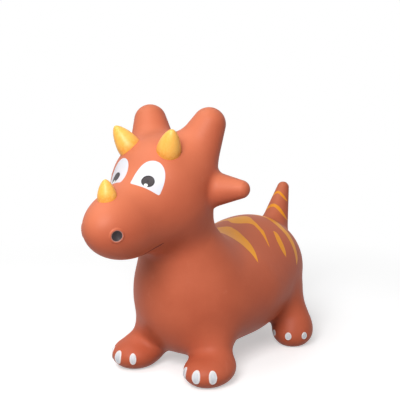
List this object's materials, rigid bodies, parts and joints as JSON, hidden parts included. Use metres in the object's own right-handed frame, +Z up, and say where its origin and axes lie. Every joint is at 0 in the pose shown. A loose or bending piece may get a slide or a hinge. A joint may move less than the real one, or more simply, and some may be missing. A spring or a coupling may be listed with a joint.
{
  "type": "bouncy ride on animal",
  "caption": "Air-filled soft vinyl animal for a toddler to sit on and bounce: horned dinosaur with a dipped back, bending neck, ears and tail, squashing feet and a belly valve.",
  "frame": {"origin": "on the floor under the middle of the toy, at the height of the soles", "axes": "+Z up, -Y towards the nose, +Y towards the tail, +X towards the toy's own left side"},
  "size_m": [0.2968, 0.6385, 0.4814],
  "materials": {
    "vinyl_skin": "soft matte",
    "yellow_horn": "satin paint",
    "white_toenail": "satin paint",
    "valve_vinyl": "smooth"
  },
  "bodies": {
    "torso": {"torso_skin": "vinyl_skin", "valve_seat": "valve_vinyl", "front_leg_skin_left": "vinyl_skin", "front_leg_skin_right": "vinyl_skin", "hind_leg_skin_left": "vinyl_skin", "hind_leg_skin_right": "vinyl_skin"},
    "head": {"head_skin": "vinyl_skin", "nose_horn": "yellow_horn", "brow_horn_left": "yellow_horn", "brow_horn_right": "yellow_horn"},
    "left_ear": {"ear_left": "vinyl_skin"},
    "right_ear": {"ear_right": "vinyl_skin"},
    "tail_end": {"tail": "vinyl_skin"},
    "front_left_foot": {"front_foot_left": "vinyl_skin", "front_inner_toenail_left": "white_toenail", "front_middle_toenail_left": "white_toenail", "front_outer_toenail_left": "white_toenail"},
    "front_right_foot": {"front_foot_right": "vinyl_skin", "front_inner_toenail_right": "white_toenail", "front_middle_toenail_right": "white_toenail", "front_outer_toenail_right": "white_toenail"},
    "hind_left_foot": {"hind_foot_left": "vinyl_skin", "hind_inner_toenail_left": "white_toenail", "hind_middle_toenail_left": "white_toenail", "hind_outer_toenail_left": "white_toenail"},
    "hind_right_foot": {"hind_foot_right": "vinyl_skin", "hind_inner_toenail_right": "white_toenail", "hind_middle_toenail_right": "white_toenail", "hind_outer_toenail_right": "white_toenail"},
    "plug": {"valve_plug": "valve_vinyl"}
  },
  "joints": [
    {"name": "head_nod", "type": "hinge", "parent": "torso", "child": "head", "pos_m": [0, -0.08725, 0.247], "axis": [1, 0, 0], "range_deg": [-6, 6], "stiffness_Nm_per_rad": 15, "springref_deg": -1.6},
    {"name": "left_ear_bend", "type": "hinge", "parent": "head", "child": "left_ear", "pos_m": [0.09228, -0.09044, 0.34512], "axis": [0, 0, 1], "range_deg": [-12, 12], "stiffness_Nm_per_rad": 0.4},
    {"name": "right_ear_bend", "type": "hinge", "parent": "head", "child": "right_ear", "pos_m": [-0.09228, -0.09044, 0.34512], "axis": [0, 0, -1], "range_deg": [-12, 12], "stiffness_Nm_per_rad": 0.4},
    {"name": "tail_bend", "type": "hinge", "parent": "torso", "child": "tail_end", "pos_m": [0, 0.27214, 0.21766], "axis": [1, 0, 0], "range_deg": [-12, 12], "stiffness_Nm_per_rad": 0.6},
    {"name": "front_left_foot_squash", "type": "slide", "parent": "torso", "child": "front_left_foot", "axis": [0, 0, 1], "range_m": [0, 0.016], "stiffness_N_per_m": 1500, "springref_m": -0.004, "deforming": ["front_leg_skin_left"]},
    {"name": "front_right_foot_squash", "type": "slide", "parent": "torso", "child": "front_right_foot", "axis": [0, 0, 1], "range_m": [0, 0.016], "stiffness_N_per_m": 1500, "springref_m": -0.004, "deforming": ["front_leg_skin_right"]},
    {"name": "hind_left_foot_squash", "type": "slide", "parent": "torso", "child": "hind_left_foot", "axis": [0, 0, 1], "range_m": [0, 0.016], "stiffness_N_per_m": 1500, "springref_m": -0.002, "deforming": ["hind_leg_skin_left"]},
    {"name": "hind_right_foot_squash", "type": "slide", "parent": "torso", "child": "hind_right_foot", "axis": [0, 0, 1], "range_m": [0, 0.016], "stiffness_N_per_m": 1500, "springref_m": -0.002, "deforming": ["hind_leg_skin_right"]},
    {"name": "valve_plug_pull", "type": "slide", "parent": "torso", "child": "plug", "axis": [0, 0, -1], "range_m": [0, 0.016]}
  ]
}
